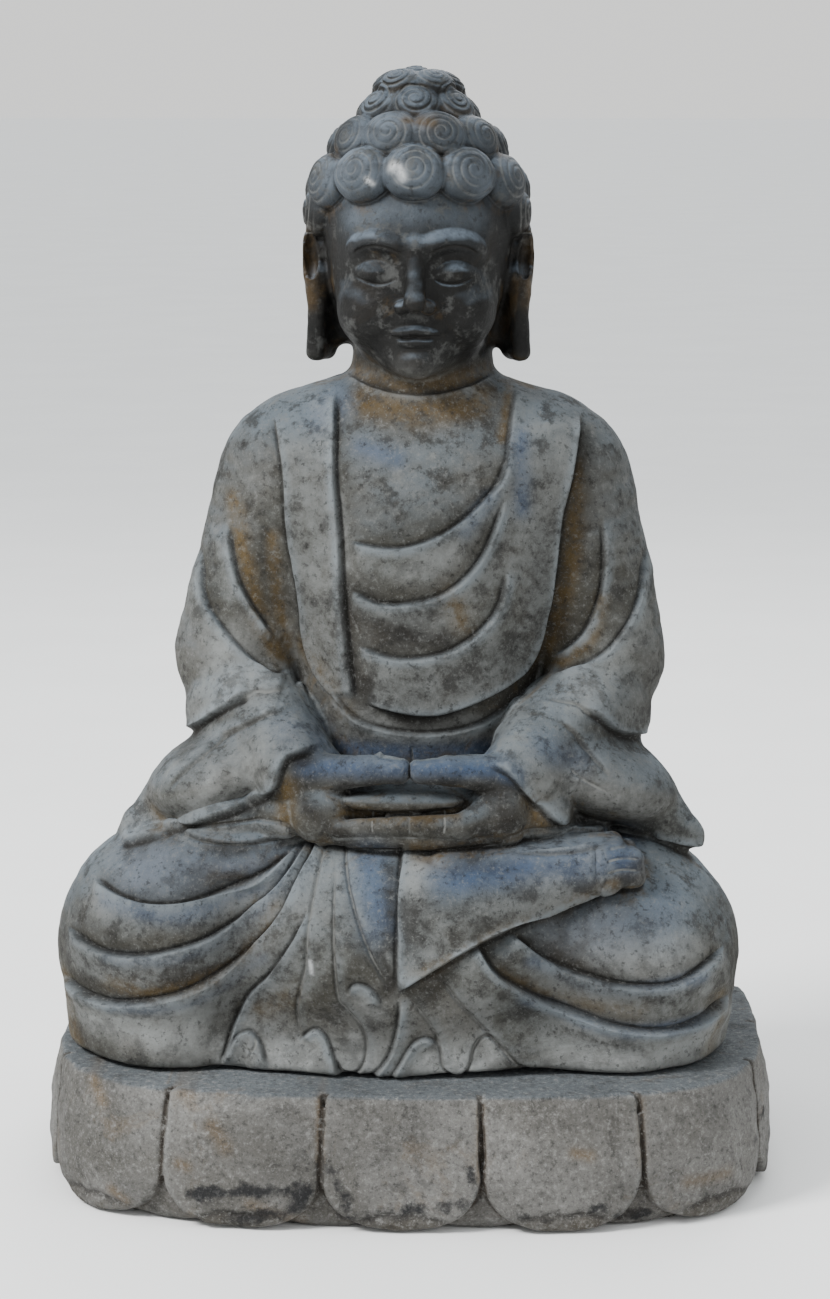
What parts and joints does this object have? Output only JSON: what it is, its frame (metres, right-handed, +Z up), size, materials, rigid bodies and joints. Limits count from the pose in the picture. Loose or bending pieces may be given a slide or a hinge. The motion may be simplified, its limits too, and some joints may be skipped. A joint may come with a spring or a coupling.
{
  "type": "buddha statue",
  "caption": "Carved stone Buddha seated in meditation with both hands in the lap, standing loose on a lotus plinth with hanging petals; the figure lifts off its dowels.",
  "frame": {"origin": "middle of the plinth's flat underside", "axes": "+Z up; -Y the way the figure faces; +X towards the figure's own left hand"},
  "size_m": [0.6612, 0.5094, 1],
  "materials": {
    "plinth_stone": "weathered, bush-hammered",
    "figure_stone": "weathered, rubbed smooth on the head",
    "dowel_steel": "turned",
    "grout": "matt",
    "sleeve_plastic": "matt",
    "shim_lead": "dull"
  },
  "bodies": {
    "plinth": {"lotus_plinth": "plinth_stone", "dowel_left": "dowel_steel", "dowel_right": "dowel_steel", "grout_left": "grout", "grout_right": "grout", "shim_front_left": "shim_lead", "shim_front_right": "shim_lead", "shim_back_left": "shim_lead", "shim_back_right": "shim_lead"},
    "figure": {"seated_figure": "figure_stone", "sleeve_left": "sleeve_plastic", "sleeve_right": "sleeve_plastic"}
  },
  "joints": [
    {"name": "figure_lift", "type": "slide", "parent": "plinth", "child": "figure", "axis": [0, 0, 1], "range_m": [0, 0.09]}
  ]
}
